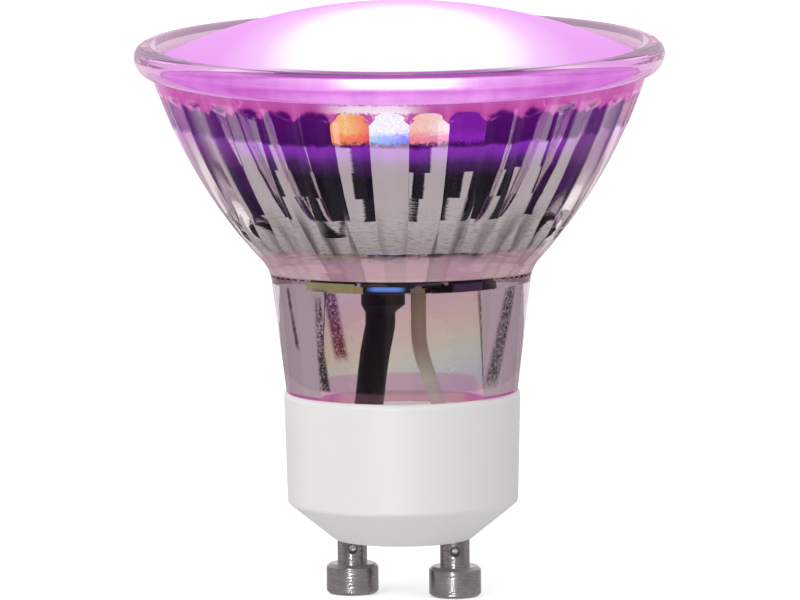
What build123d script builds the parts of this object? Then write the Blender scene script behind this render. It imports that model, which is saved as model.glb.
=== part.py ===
"""Reflector lamp: ribbed glass cup, domed lens, LED board, driver board and a two-pin twist-lock cap.

The lamp stands on its axis, lens up. Z is the axis, X runs through both pins, and the origin is the
centre of the cap's foot, where the pins come out.
"""
import os
from math import atan2, cos, hypot, radians, sin, sqrt, tan

from build123d import *

os.makedirs("parts", exist_ok=True)

# Cap
cap_height = 14.05
cap_top_radius = 11.15
cap_shoulder_radius = 10.85
cap_foot_radius = 6.5
cap_slope_height = 3.5
cap_bore_radius = 9.95
cap_floor = 2.2
cavity_slope_height = 4.1
cap_edge_round = 0.45

# Contact pins
pin_spacing = 10.0
pin_reach = 5.45
pin_head_radius = 2.45
pin_head_height = 2.9
pin_head_bevel = 0.3
pin_shank_radius = 1.4
pin_flange_radius = 2.1
pin_flange_height = 0.6
pin_tail_height = 1.6
pin_bore_radius = 0.75
pin_bore_depth = 6.2
crimp_radius = 0.55
crimp_depth = 0.45
crimp_drop = 1.05
crimp_turn = 16.0
crimp_taper = 30.0

# Glass cup
neck_height = 11.7
neck_foot_radius = 10.9
neck_top_radius = 12.35
neck_round = 4.0
neck_bore_radius = 7.6
spigot_depth = 6.5
spigot_radius = 9.6
cup_height = 18.3
cup_mouth_radius = 23.3
cup_bulge = 1.23
glass_wall = 2.2
rim_overhang = 1.7
rim_top_round = 1.1
rim_inner_round = 1.0
rim_top_rise = 2.92
lens_seat_rise = 0.42
lens_ledge = 1.3
facet_shares = (0.101, 0.183, 0.27, 0.363, 0.489, 0.631, 0.768, 0.954)

# Ribs on the outside of the cup, with the grooves between them running out at both ends
rib_count = 36
rib_phase = 2.3
rib_share = 0.026
rib_proud = 0.03
rib_top_drop = 1.1
rib_foot_rise = 2.9
rib_top_run = 1.3
rib_foot_run = 1.6
rib_end_share = 0.15
rib_steps = 6

# Lens
lens_rise = 4.85
lens_wall = 1.2
lens_edge = 1.05
lens_side_gap = 0.35
lens_glue = 0.3

# LED board
led_board_drop = 3.4
led_board_thickness = 1.0
led_length = 3.5
led_width = 2.8
led_height = 0.75
led_window_radius = 1.1
led_window_depth = 0.15
led_outer_ring = 15.0
led_inner_ring = 7.5
led_outer_count = 12
led_inner_count = 6
glue_dab_reach = 1.0
glue_dab_rise = 0.8
glue_dab_angle = 16.0
glue_dab_count = 3

# Driver board, its notch for the leads and the pieces on it
lead_turn = 15.0
driver_board_drop = 1.1
driver_board_thickness = 1.3
driver_board_radius = 8.9
driver_pocket_rise = 0.35
notch_left = -4.0
notch_right = 2.7
notch_back = -2.4
capacitor_radius = 4.0
capacitor_height = 11.5
capacitor_round = 0.5
capacitor_offset = 3.6
capacitor_lead_pitch = 3.5
capacitor_lead_radius = 0.3
capacitor_lead_tail = 0.5
choke_length = 4.1
choke_width = 1.4
choke_back = -4.2
choke_round = 0.3
bridge_size = (4.0, 3.0, 1.5)
bridge_place = (-6.2, -1.0)
ic_size = (3.6, 3.0, 1.4)
ic_place = (6.2, -2.0)
chip_edge = 0.25
resistor_size = (2.0, 1.25, 0.5)
resistor_x = 4.9
resistor_y = 5.6
chip_capacitor_size = (1.25, 2.0, 0.8)
chip_capacitor_x = 7.4
chip_capacitor_y = 1.6

# Leads, with the corners of their routes as shares of the way to the pin and of the height
neutral_corners = [(0, 0.68), (0.34, 0.5), (0.66, 0.34), (1, 0.14)]
sleeve_corners = [(0, 0.93), (0.245, 0.7), (0.41, 0.42), (1, 0.13)]
led_lead_corners = [(0, 0.3), (1, 0.7)]
bend_share = 0.45
conductor_radius = 0.4
conductor_end_rise = 0.5
tail_bend = 0.8
neutral_u = 1.45
neutral_v = -5.4
neutral_tail = 3.4
lead_radius = 0.65
lead_end_gap = 0.9
fuse_u = -1.55
fuse_v = -4.7
fuse_tail = 3.9
fuse_radius = 1.55
fuse_body_height = 2.0
fuse_drop = 0.5
live_drop = 0.3
sleeve_wall = 0.3
sleeve_wide_height = 2.5
sleeve_taper_height = 0.8
sleeve_tube_radius = 1.3
sleeve_tube_bore = 1.05
sleeve_end_gap = 1.4
led_lead_radius = 0.5
led_lead_u = 6.2
led_lead_v = 3.4
led_lead_lean = 1.5
solder_radius = 0.85
solder_height = 0.5
solder_taper = 35.0
plug_height = 2.0
plug_drop = 0.9
plug_hole_gap = 0.45

# Clearances
fit = 0.03
board_fit = 0.08

# Heights and radii that follow from the driving dimensions
neck_top = cap_height + neck_height
cup_top = neck_top + cup_height
rim_top = cup_top + rim_top_rise
lens_seat = cup_top + lens_seat_rise
driver_board_foot = neck_top - driver_board_drop
driver_board_top = driver_board_foot + driver_board_thickness
facet_foot = driver_board_top + driver_pocket_rise
led_board_foot = cup_top - led_board_drop
led_board_top = led_board_foot + led_board_thickness
pin_x = pin_spacing / 2
pin_tail_top = cap_floor + pin_flange_height + pin_tail_height
rim_side = rim_top - rim_top_round
rim_radius = cup_mouth_radius + rim_overhang
rib_top = cup_top - rib_top_drop
rib_foot = neck_top + rib_foot_rise

# Circle that the bowl's outer meridian follows
chord_x = cup_mouth_radius - neck_top_radius
chord_z = cup_height
half_chord = hypot(chord_x, chord_z) / 2
bowl_radius = (half_chord**2 + cup_bulge**2) / (2 * cup_bulge)
bowl_back = (bowl_radius - cup_bulge) / (2 * half_chord)
bowl_x = (neck_top_radius + cup_mouth_radius) / 2 - bowl_back * chord_z
bowl_z = neck_top + cup_height / 2 + bowl_back * chord_x


def bowl_point(radius, angle):
    """Point in the meridian plane at a radius and an angle about the bowl circle's centre."""
    return (bowl_x + radius * cos(angle), bowl_z + radius * sin(angle))


def bowl_angle(radius, height):
    """Angle about the bowl circle's centre at which a circle of that radius has a height."""
    rise = height - bowl_z
    return atan2(rise, sqrt(radius**2 - rise**2))


inner_radius = bowl_radius - glass_wall


def facet_points():
    """Corners of the rows of facets inside the bowl, from the foot up."""
    row_tops = [neck_top + share * cup_height for share in facet_shares]
    heights = [facet_foot, *row_tops, lens_seat]
    return [bowl_point(inner_radius, bowl_angle(inner_radius, height)) for height in heights]


def wall_radius(height):
    """Radius of the faceted inner wall at a height."""
    corners = facet_points()
    for (low_x, low_z), (high_x, high_z) in zip(corners, corners[1:]):
        if height <= high_z:
            break
    return low_x + (high_x - low_x) * (height - low_z) / (high_z - low_z)


def bend_radii(points):
    """Bend radius for each inner corner of a lead's route, as large as its two runs allow."""
    radii = []
    for before, corner, after in zip(points, points[1:], points[2:]):
        run_in = Vector(*corner) - Vector(*before)
        run_out = Vector(*after) - Vector(*corner)
        half_turn = radians(run_in.get_angle(run_out)) / 2
        radii.append(bend_share * min(run_in.length, run_out.length) / tan(half_turn))
    return radii


# Glass cup, pressed as one piece
bead_radius = ((rim_side - cup_top) ** 2 + rim_overhang**2) / (2 * rim_overhang)
pocket_radius = driver_board_radius + board_fit
seat_radius = wall_radius(lens_seat)
rim_inner_radius = seat_radius + lens_ledge


def polar_point(radius, angle):
    """Point at a radius and an angle in degrees about the lamp's axis."""
    return (radius * cos(radians(angle)), radius * sin(radians(angle)))


def rib_outline(height):
    """Arcs over the ribs at a height, from groove to groove; near the ribs' ends they rise out of the bowl."""
    bowl_outside, _ = bowl_point(bowl_radius, bowl_angle(bowl_radius, height))
    depth = rib_share * bowl_outside
    into_top = max(0, height - rib_top + rib_top_run) / rib_top_run
    into_foot = max(0, rib_foot + rib_foot_run - height) / rib_foot_run
    crest = bowl_outside + rib_proud + depth * (into_top**2 + into_foot**2)
    half_pitch = 180 / rib_count
    for rib in range(rib_count):
        middle = rib_phase + 2 * half_pitch * rib
        ThreePointArc(
            polar_point(crest - depth, middle - half_pitch),
            polar_point(crest, middle),
            polar_point(crest - depth, middle + half_pitch),
        )


rib_cut_foot = rib_foot - rib_end_share * rib_foot_run
rib_cut_top = rib_top + rib_end_share * rib_top_run
rib_middle_foot = rib_foot + rib_foot_run
rib_middle_rise = rib_top - rib_top_run - rib_middle_foot
rib_heights = [
    rib_cut_foot,
    rib_foot + rib_foot_run / 2,
    *(rib_middle_foot + rib_middle_rise * step / rib_steps for step in range(rib_steps + 1)),
    rib_top - rib_top_run / 2,
    rib_cut_top,
]

with BuildPart() as rib_cutter:
    with BuildSketch(Plane.XY.offset(rib_cut_foot)):
        Circle(rim_radius)
    extrude(amount=rib_cut_top - rib_cut_foot)
    for height in rib_heights:
        with BuildSketch(Plane.XY.offset(height)):
            with BuildLine():
                rib_outline(height)
            make_face()
    loft(mode=Mode.SUBTRACT)

with BuildPart() as glass_cup:
    with BuildSketch(Plane.XZ) as cup_section:
        with BuildLine():
            Polyline(
                (neck_bore_radius, cap_height - spigot_depth),
                (spigot_radius, cap_height - spigot_depth),
                (spigot_radius, cap_height),
                (neck_foot_radius, cap_height),
                (neck_top_radius, neck_top),
            )
            SagittaArc((neck_top_radius, neck_top), (cup_mouth_radius, cup_top), -cup_bulge)
            RadiusArc((cup_mouth_radius, cup_top), (rim_radius, rim_side), -bead_radius)
            RadiusArc((rim_radius, rim_side), (rim_radius - rim_top_round, rim_top), -rim_top_round)
            Line((rim_radius - rim_top_round, rim_top), (rim_inner_radius + rim_inner_round, rim_top))
            RadiusArc(
                (rim_inner_radius + rim_inner_round, rim_top),
                (rim_inner_radius, rim_top - rim_inner_round),
                -rim_inner_round,
            )
            Polyline(
                (rim_inner_radius, rim_top - rim_inner_round),
                (rim_inner_radius, lens_seat),
                *reversed(facet_points()),
                (pocket_radius, facet_foot),
                (pocket_radius, driver_board_foot),
                (neck_bore_radius, driver_board_foot),
                (neck_bore_radius, cap_height - spigot_depth),
            )
        make_face()
        neck_corner = cup_section.vertices().sort_by_distance((neck_top_radius, neck_top))[0]
        fillet(neck_corner, radius=neck_round)
    revolve(axis=Axis.Z)
    add(rib_cutter.part, mode=Mode.SUBTRACT)

# Domed lens
lens_radius = rim_inner_radius - lens_side_gap
lens_foot = lens_seat + lens_glue
lens_side_top = lens_foot + lens_edge
dome_radius = (lens_radius**2 + lens_rise**2) / (2 * lens_rise)
dome_z = lens_side_top + lens_rise - dome_radius
lens_inner_dome = dome_radius - lens_wall
lens_inner_radius = sqrt(lens_inner_dome**2 - (lens_foot - dome_z) ** 2)

with BuildPart() as front_lens:
    with BuildSketch(Plane.XZ):
        with BuildLine():
            RadiusArc((0, dome_z + dome_radius), (lens_radius, lens_side_top), dome_radius)
            Polyline((lens_radius, lens_side_top), (lens_radius, lens_foot), (lens_inner_radius, lens_foot))
            RadiusArc((lens_inner_radius, lens_foot), (0, dome_z + lens_inner_dome), -lens_inner_dome)
            Line((0, dome_z + lens_inner_dome), (0, dome_z + dome_radius))
        make_face()
    revolve(axis=Axis.Z)

with BuildPart() as lens_adhesive:
    with BuildSketch(Plane.XY.offset(lens_seat)):
        Circle(lens_radius)
        Circle(seat_radius, mode=Mode.SUBTRACT)
    extrude(amount=lens_glue)

# LED board with its diodes
led_board_radius = wall_radius(led_board_foot) - board_fit

with BuildPart() as led_board:
    with BuildSketch(Plane.XY.offset(led_board_foot)):
        Circle(led_board_radius)
    extrude(amount=led_board_thickness)

with BuildPart() as board_adhesive:
    dab_top = led_board_top + glue_dab_rise
    with BuildSketch(Plane.XZ):
        with BuildLine():
            Polyline(
                (led_board_radius - glue_dab_reach, led_board_top),
                (wall_radius(led_board_top) - fit, led_board_top),
                (wall_radius(dab_top) - fit, dab_top),
                close=True,
            )
        make_face()
    revolve(axis=Axis.Z, revolution_arc=glue_dab_angle)
    with PolarLocations(0, glue_dab_count):
        add(board_adhesive.part)

with BuildPart() as led:
    Box(led_length, led_width, led_height, align=(Align.CENTER, Align.CENTER, Align.MIN))
    with Locations((0, 0, led_height)):
        Hole(led_window_radius, depth=led_window_depth)

outer_places = PolarLocations(led_outer_ring, led_outer_count).locations
inner_places = PolarLocations(led_inner_ring, led_inner_count).locations
red_places = outer_places[0::2] + inner_places[0::2]
blue_places = outer_places[1::4] + inner_places[1:2]
white_places = outer_places[3::4] + inner_places[3::2]


def led_group(places):
    """Diodes of one colour, on the LED board at the places given."""
    with BuildPart(Plane.XY.offset(led_board_top)) as group:
        with Locations(*places):
            add(led.part)
    return group


red_leds = led_group(red_places)
blue_leds = led_group(blue_places)
white_leds = led_group(white_places)

# Driver board at the foot of the bowl, turned so that its notch faces the front
def driver_plane(height):
    """Level plane at a height, turned with the driver board."""
    return Plane.XY.offset(height).rotated((0, 0, lead_turn))


capacitor_lead_places = [
    (-capacitor_lead_pitch / 2, capacitor_offset),
    (capacitor_lead_pitch / 2, capacitor_offset),
]

with BuildPart() as driver_board:
    with BuildSketch(driver_plane(driver_board_foot)):
        Circle(driver_board_radius)
        with Locations((notch_left, notch_back)):
            Rectangle(
                notch_right - notch_left,
                driver_board_radius,
                align=(Align.MIN, Align.MAX),
                mode=Mode.SUBTRACT,
            )
        with Locations((notch_right, choke_back)):
            Rectangle(
                driver_board_radius,
                driver_board_radius,
                align=(Align.MIN, Align.MAX),
                mode=Mode.SUBTRACT,
            )
        with Locations(*capacitor_lead_places):
            Circle(capacitor_lead_radius + fit, mode=Mode.SUBTRACT)
    extrude(amount=driver_board_thickness)

with BuildPart(driver_plane(driver_board_top)) as electrolytic_capacitor:
    with Locations((0, capacitor_offset)):
        Cylinder(capacitor_radius, capacitor_height, align=(Align.CENTER, Align.CENTER, Align.MIN))
    capacitor_rims = electrolytic_capacitor.edges().filter_by(GeomType.CIRCLE)
    fillet(capacitor_rims.sort_by(Axis.Z)[-1], radius=capacitor_round)

with BuildPart() as capacitor_leads:
    with BuildSketch(driver_plane(driver_board_foot - capacitor_lead_tail)):
        with Locations(*capacitor_lead_places):
            Circle(capacitor_lead_radius)
    extrude(amount=driver_board_thickness + capacitor_lead_tail)

with BuildPart(driver_plane(driver_board_top)) as choke:
    with Locations((notch_right, choke_back)):
        Box(choke_length, choke_width, driver_board_thickness, align=(Align.MIN, Align.MAX, Align.MAX))
    fillet(choke.edges().filter_by(Axis.Z), radius=choke_round)


def chip_group(size, places):
    """Chips of one size on top of the driver board, with bevelled top edges."""
    with BuildPart(driver_plane(driver_board_top)) as group:
        with Locations(*places):
            Box(*size, align=(Align.CENTER, Align.CENTER, Align.MIN))
        chamfer(group.faces().group_by(Axis.Z)[-1].edges(), length=min(chip_edge, size[2] / 4))
    return group


bridge_rectifier = chip_group(bridge_size, [bridge_place])
driver_ic = chip_group(ic_size, [ic_place])
chip_resistors = chip_group(resistor_size, [(-resistor_x, resistor_y), (resistor_x, resistor_y)])
chip_capacitors = chip_group(
    chip_capacitor_size,
    [(-chip_capacitor_x, chip_capacitor_y), (chip_capacitor_x, chip_capacitor_y)],
)

# Solder round the capacitor's leads, under the driver board
with BuildPart() as solder_joints:
    with BuildSketch(driver_plane(driver_board_foot)):
        with Locations(*capacitor_lead_places):
            Circle(solder_radius)
    extrude(amount=-solder_height, taper=solder_taper)
    with BuildSketch(driver_plane(driver_board_foot)):
        with Locations(*capacitor_lead_places):
            Circle(capacitor_lead_radius + fit)
    extrude(amount=-solder_height, mode=Mode.SUBTRACT)

# Cap body
cavity_foot_radius = cap_bore_radius - (cavity_slope_height - cap_floor) * (
    cap_shoulder_radius - cap_foot_radius
) / cap_slope_height

with BuildPart() as base_shell:
    with BuildSketch(Plane.XZ) as cap_section:
        with BuildLine():
            Polyline(
                (0, 0),
                (cap_foot_radius, 0),
                (cap_shoulder_radius, cap_slope_height),
                (cap_top_radius, cap_height),
                (cap_bore_radius, cap_height),
                (cap_bore_radius, cavity_slope_height),
                (cavity_foot_radius, cap_floor),
                (0, cap_floor),
                close=True,
            )
        make_face()
        outer_corners = [
            cap_section.vertices().sort_by_distance(corner)[0]
            for corner in (
                (cap_foot_radius, 0),
                (cap_shoulder_radius, cap_slope_height),
                (cap_top_radius, cap_height),
            )
        ]
        fillet(outer_corners, radius=cap_edge_round)
    revolve(axis=Axis.Z)
    with Locations((-pin_x, 0, cap_floor), (pin_x, 0, cap_floor)):
        Hole(pin_shank_radius + fit, depth=cap_floor)

with BuildPart() as base_cement:
    with BuildSketch(Plane.XY.offset(cap_height - spigot_depth)):
        Circle(cap_bore_radius - fit)
        Circle(spigot_radius + fit, mode=Mode.SUBTRACT)
    extrude(amount=spigot_depth)


def contact_pin(side):
    """Headed pin through the cap's floor, hollow above, with a crimp on its shank."""
    head_top = pin_head_height - pin_reach
    axis_x = side * pin_x
    with BuildPart() as pin:
        with BuildSketch(Plane.XZ):
            with BuildLine():
                Polyline(
                    (axis_x, -pin_reach),
                    (axis_x + pin_head_radius - pin_head_bevel, -pin_reach),
                    (axis_x + pin_head_radius, pin_head_bevel - pin_reach),
                    (axis_x + pin_head_radius, head_top - pin_head_bevel),
                    (axis_x + pin_head_radius - pin_head_bevel, head_top),
                    (axis_x + pin_shank_radius, head_top),
                    (axis_x + pin_shank_radius, cap_floor),
                    (axis_x + pin_flange_radius, cap_floor),
                    (axis_x + pin_flange_radius, cap_floor + pin_flange_height),
                    (axis_x + pin_shank_radius, cap_floor + pin_flange_height),
                    (axis_x + pin_shank_radius, pin_tail_top),
                    (axis_x + pin_bore_radius, pin_tail_top),
                    (axis_x + pin_bore_radius, pin_tail_top - pin_bore_depth),
                    (axis_x, pin_tail_top - pin_bore_depth),
                    close=True,
                )
            make_face()
        revolve(axis=Axis((axis_x, 0, 0), (0, 0, 1)))
        crimp_way = Vector(sin(radians(crimp_turn)), -cos(radians(crimp_turn)), 0)
        crimp_foot = Vector(axis_x, 0, -crimp_drop) + crimp_way * (pin_shank_radius - crimp_depth)
        with BuildSketch(Plane(origin=crimp_foot, z_dir=crimp_way)):
            Circle(crimp_radius / 2)
        extrude(amount=2 * crimp_depth, taper=-crimp_taper, mode=Mode.SUBTRACT)
    return pin


contact_pin_left = contact_pin(-1)
contact_pin_right = contact_pin(1)

# Leads in the neck: each lies in the upright plane through its top end and its pin
def turned(u, v):
    """Place on the driver board, from its own axes to the lamp's axes."""
    turn = radians(lead_turn)
    return Vector(u * cos(turn) - v * sin(turn), u * sin(turn) + v * cos(turn))


def route_plane(top, foot):
    """Upright plane from a lead's top end to its pin, with its own X along the way and its own Y up."""
    way = (foot - top).normalized()
    return Plane(origin=top, x_dir=way, z_dir=way.cross(Vector(0, 0, 1)))


def wire(plane, points, bends, radius):
    """Round wire along a route in an upright plane, with the radius of each bend."""
    with BuildPart() as piece:
        with BuildLine(plane) as route:
            FilletPolyline(*points, radius=bends)
        with BuildSketch(Plane(origin=route.line @ 0, z_dir=route.line % 0)):
            Circle(radius)
        sweep(path=route.line)
    return piece


tail_z = driver_board_top + conductor_radius
neutral_top = turned(neutral_u, neutral_v)
neutral_pin = Vector(pin_x, 0)
neutral_plane = route_plane(neutral_top, neutral_pin)
neutral_way = (neutral_pin - neutral_top).length
lead_foot = pin_tail_top + lead_end_gap
lead_drop = driver_board_top - lead_foot
neutral_route = [
    (0, driver_board_top - conductor_radius),
    *((way * neutral_way, lead_foot + rise * lead_drop) for way, rise in neutral_corners),
    (neutral_way, lead_foot),
]
neutral_bends = bend_radii(neutral_route)
insulation = wire(neutral_plane, neutral_route, neutral_bends, lead_radius)
insulation_bore = wire(neutral_plane, neutral_route, neutral_bends, conductor_radius + fit)

with BuildPart() as neutral_lead:
    add(insulation.part)
    add(insulation_bore.part, mode=Mode.SUBTRACT)

neutral_core = [
    (neutral_tail, tail_z),
    (0, tail_z),
    *neutral_route[1:-1],
    (neutral_way, conductor_end_rise),
]
neutral_conductor = wire(neutral_plane, neutral_core, [tail_bend, *neutral_bends], conductor_radius)

# Fuse resistor in its shrink sleeve, and the live lead below it
fuse_top_place = turned(fuse_u, fuse_v)
fuse_pin = Vector(-pin_x, 0)
fuse_plane = route_plane(fuse_top_place, fuse_pin)
fuse_way = (fuse_pin - fuse_top_place).length
fuse_top = driver_board_top - fuse_drop
fuse_foot = fuse_top - fuse_body_height
sleeve_top = driver_board_top - fit
sleeve_shoulder = sleeve_top - sleeve_wide_height
sleeve_throat = sleeve_shoulder - sleeve_taper_height
sleeve_foot = pin_tail_top + sleeve_end_gap
sleeve_drop = sleeve_throat - sleeve_foot
sleeve_bore = fuse_radius + fit
sleeve_radius = sleeve_bore + sleeve_wall
fuse_tail_route = [(fuse_tail, tail_z), (0, tail_z), (0, fuse_top)]
fuse_tail_wire = wire(fuse_plane, fuse_tail_route, [tail_bend], conductor_radius)

with BuildPart() as fuse_resistor:
    with BuildSketch(Plane(origin=(fuse_top_place.X, fuse_top_place.Y, fuse_foot))):
        Circle(fuse_radius)
    extrude(amount=fuse_body_height)
    add(fuse_tail_wire.part)

# The tube's wall is flush with the wide end's wall on the side of the pin
sleeve_shift = sleeve_radius - sleeve_tube_radius
sleeve_way = fuse_way - sleeve_shift
sleeve_route = [
    (sleeve_shift, sleeve_throat),
    *((sleeve_shift + way * sleeve_way, sleeve_foot + rise * sleeve_drop) for way, rise in sleeve_corners),
    (fuse_way, sleeve_foot),
]
sleeve_bends = bend_radii(sleeve_route)
shoulder_plane = Plane(origin=(fuse_top_place.X, fuse_top_place.Y, sleeve_shoulder))
throat_plane = Plane(origin=fuse_plane.from_local_coords((sleeve_shift, sleeve_throat, 0)))


def sleeve_solid(wide, narrow):
    """Wide sleeve that narrows to one side into a bent tube, as one solid from its top down to its foot."""
    tube = wire(fuse_plane, sleeve_route, sleeve_bends, narrow)
    with BuildPart() as whole:
        with BuildSketch(shoulder_plane):
            Circle(wide)
        extrude(amount=sleeve_wide_height)
        with BuildSketch(shoulder_plane):
            Circle(wide)
        with BuildSketch(throat_plane):
            Circle(narrow)
        loft()
        add(tube.part)
    return whole


sleeve_outside = sleeve_solid(sleeve_radius, sleeve_tube_radius)
sleeve_inside = sleeve_solid(sleeve_bore, sleeve_tube_bore)

with BuildPart() as fuse_sleeve:
    add(sleeve_outside.part)
    add(sleeve_inside.part, mode=Mode.SUBTRACT)

live_route = [
    (0, fuse_foot),
    (0, fuse_foot - live_drop),
    *sleeve_route[1:-1],
    (fuse_way, conductor_end_rise),
]
live_lead = wire(fuse_plane, live_route, bend_radii(live_route), conductor_radius)

# Plug that closes the foot of the neck's bore, with slots for the sleeve and the neutral lead
plug_top = cap_height - plug_drop


def way_at(route, height):
    """Distance along a lead's plane at which its route passes a height."""
    for (far_way, high), (near_way, low) in zip(route, route[1:]):
        if low <= height <= high:
            break
    return far_way + (near_way - far_way) * (high - height) / (high - low)


def plug_slot(plane, route, radius):
    """Slot through the plug that leaves room for a leaning lead."""
    top_place = plane.from_local_coords((way_at(route, plug_top), 0, 0))
    foot_place = plane.from_local_coords((way_at(route, plug_top - plug_height), 0, 0))
    SlotCenterToCenter(
        (foot_place - top_place).length,
        2 * (radius + plug_hole_gap),
        rotation=atan2(foot_place.Y - top_place.Y, foot_place.X - top_place.X) / radians(1),
        mode=Mode.SUBTRACT,
    )


def slot_middle(plane, route):
    """Middle of a lead's slot in the plug."""
    middle = (way_at(route, plug_top) + way_at(route, plug_top - plug_height)) / 2
    return plane.from_local_coords((middle, 0, 0))


with BuildPart() as neck_plug:
    with BuildSketch(Plane.XY.offset(plug_top - plug_height)):
        Circle(neck_bore_radius - fit)
        with Locations(slot_middle(neutral_plane, neutral_route)):
            plug_slot(neutral_plane, neutral_route, lead_radius)
        with Locations(slot_middle(fuse_plane, sleeve_route)):
            plug_slot(fuse_plane, sleeve_route, sleeve_tube_radius)
    extrude(amount=plug_height)

# Leads from the driver board up to the LED board
led_lead_rise = led_board_foot - driver_board_top
led_route = [
    (led_lead_u, driver_board_top),
    *(
        (led_lead_u + way * led_lead_lean, driver_board_top + rise * led_lead_rise)
        for way, rise in led_lead_corners
    ),
    (led_lead_u + led_lead_lean, led_board_foot),
]
led_lead_plane = route_plane(turned(0, led_lead_v), turned(1, led_lead_v))
led_lead = wire(led_lead_plane, led_route, bend_radii(led_route), led_lead_radius)

with BuildPart() as led_leads:
    add(led_lead.part)
    mirror(about=Plane.YZ.rotated((0, 0, lead_turn)))

pieces = {
    "glass_cup": glass_cup,
    "front_lens": front_lens,
    "lens_adhesive": lens_adhesive,
    "led_board": led_board,
    "board_adhesive": board_adhesive,
    "red_leds": red_leds,
    "blue_leds": blue_leds,
    "white_leds": white_leds,
    "driver_board": driver_board,
    "electrolytic_capacitor": electrolytic_capacitor,
    "capacitor_leads": capacitor_leads,
    "choke": choke,
    "bridge_rectifier": bridge_rectifier,
    "driver_ic": driver_ic,
    "chip_resistors": chip_resistors,
    "chip_capacitors": chip_capacitors,
    "solder_joints": solder_joints,
    "led_leads": led_leads,
    "fuse_resistor": fuse_resistor,
    "fuse_sleeve": fuse_sleeve,
    "live_lead": live_lead,
    "neutral_lead": neutral_lead,
    "neutral_conductor": neutral_conductor,
    "base_shell": base_shell,
    "base_cement": base_cement,
    "neck_plug": neck_plug,
    "contact_pin_left": contact_pin_left,
    "contact_pin_right": contact_pin_right,
}
for name, piece in pieces.items():
    piece.part.label = name
    export_step(piece.part, f"parts/{name}.step")
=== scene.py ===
"""Looks of the reflector lamp: a ribbed glass cup, a lit lens, the pieces in the neck, cap and pins."""
import math

import bpy
from mathutils import Matrix, Vector


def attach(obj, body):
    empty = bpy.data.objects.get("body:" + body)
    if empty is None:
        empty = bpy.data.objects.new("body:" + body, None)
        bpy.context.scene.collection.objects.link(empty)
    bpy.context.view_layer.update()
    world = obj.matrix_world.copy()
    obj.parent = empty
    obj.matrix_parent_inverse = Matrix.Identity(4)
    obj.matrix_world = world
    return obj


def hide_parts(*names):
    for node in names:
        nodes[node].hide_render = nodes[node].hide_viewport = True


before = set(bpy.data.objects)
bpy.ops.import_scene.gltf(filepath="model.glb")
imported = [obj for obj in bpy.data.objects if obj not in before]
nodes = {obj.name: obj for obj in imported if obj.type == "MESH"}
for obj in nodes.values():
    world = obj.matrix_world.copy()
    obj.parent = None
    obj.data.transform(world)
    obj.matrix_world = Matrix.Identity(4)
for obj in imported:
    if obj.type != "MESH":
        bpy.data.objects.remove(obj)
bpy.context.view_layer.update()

MM = 0.001
scene = bpy.context.scene
scene.view_settings.view_transform = "Standard"

# Sizes of the lamp in millimetres, the same values as the CAD source
CAP_HEIGHT = 14.05
NECK_HEIGHT = 11.7
NECK_FOOT_RADIUS = 10.9
NECK_TOP_RADIUS = 12.35
NECK_ROUND = 4.0
NECK_BORE_RADIUS = 7.6
SPIGOT_DEPTH = 6.5
SPIGOT_RADIUS = 9.6
CUP_HEIGHT = 18.3
CUP_MOUTH_RADIUS = 23.3
CUP_BULGE = 1.23
GLASS_WALL = 2.2
RIM_OVERHANG = 1.7
RIM_TOP_ROUND = 1.1
RIM_INNER_ROUND = 1.0
RIM_TOP_RISE = 2.92
LENS_SEAT_RISE = 0.42
LENS_LEDGE = 1.3
FACET_SHARES = (0.101, 0.183, 0.27, 0.363, 0.489, 0.631, 0.768, 0.954)
RIB_COUNT = 36
RIB_PHASE = 2.3
RIB_SHARE = 0.026
RIB_TOP_DROP = 1.0
RIB_FOOT_RISE = 2.7
RIB_TIP_DROP = 0.6
RIB_TOP_RUN = 0.6
RIB_FOOT_RUN = 3.2
POCKET_RADIUS = 8.98
BOARD_DROP = 1.1
FACET_FOOT_RISE = 0.55
FLOOR_Z = -5.45

NECK_TOP = CAP_HEIGHT + NECK_HEIGHT
CUP_TOP = NECK_TOP + CUP_HEIGHT
RIM_TOP = CUP_TOP + RIM_TOP_RISE
RIM_SIDE = RIM_TOP - RIM_TOP_ROUND
LENS_SEAT = CUP_TOP + LENS_SEAT_RISE
BOARD_FOOT = NECK_TOP - BOARD_DROP
FACET_FOOT = NECK_TOP + FACET_FOOT_RISE
RIM_RADIUS = CUP_MOUTH_RADIUS + RIM_OVERHANG
RIB_TOP = CUP_TOP - RIB_TOP_DROP
RIB_FOOT = NECK_TOP + RIB_FOOT_RISE
RIB_HALF = math.pi / RIB_COUNT
RIB_PITCH = 360 / RIB_COUNT

# Circle that the bowl's outer meridian follows
chord_x = CUP_MOUTH_RADIUS - NECK_TOP_RADIUS
half_chord = math.hypot(chord_x, CUP_HEIGHT) / 2
BOWL_RADIUS = (half_chord**2 + CUP_BULGE**2) / (2 * CUP_BULGE)
bowl_back = (BOWL_RADIUS - CUP_BULGE) / (2 * half_chord)
BOWL_X = (NECK_TOP_RADIUS + CUP_MOUTH_RADIUS) / 2 - bowl_back * CUP_HEIGHT
BOWL_Z = NECK_TOP + CUP_HEIGHT / 2 + bowl_back * chord_x

# Mesh fineness: offsets off a rib's middle in degrees, and steps along the meridian
RIB_OFFSETS = (-4.9, -4.5, -3.6, -2.4, -1.2, 0.0, 1.2, 2.4, 3.6, 4.5, 4.9, 5.0)
NECK_SHARES = (0.02, 0.25, 0.5, 0.75)
FILLET_STEPS = 8
PLAIN_STEPS = 4
RIB_STEPS = 36
TIP_STEPS = 8
BEAD_STEPS = 10
ROUND_STEPS = 8
SOLVE_STEPS = 40

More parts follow.
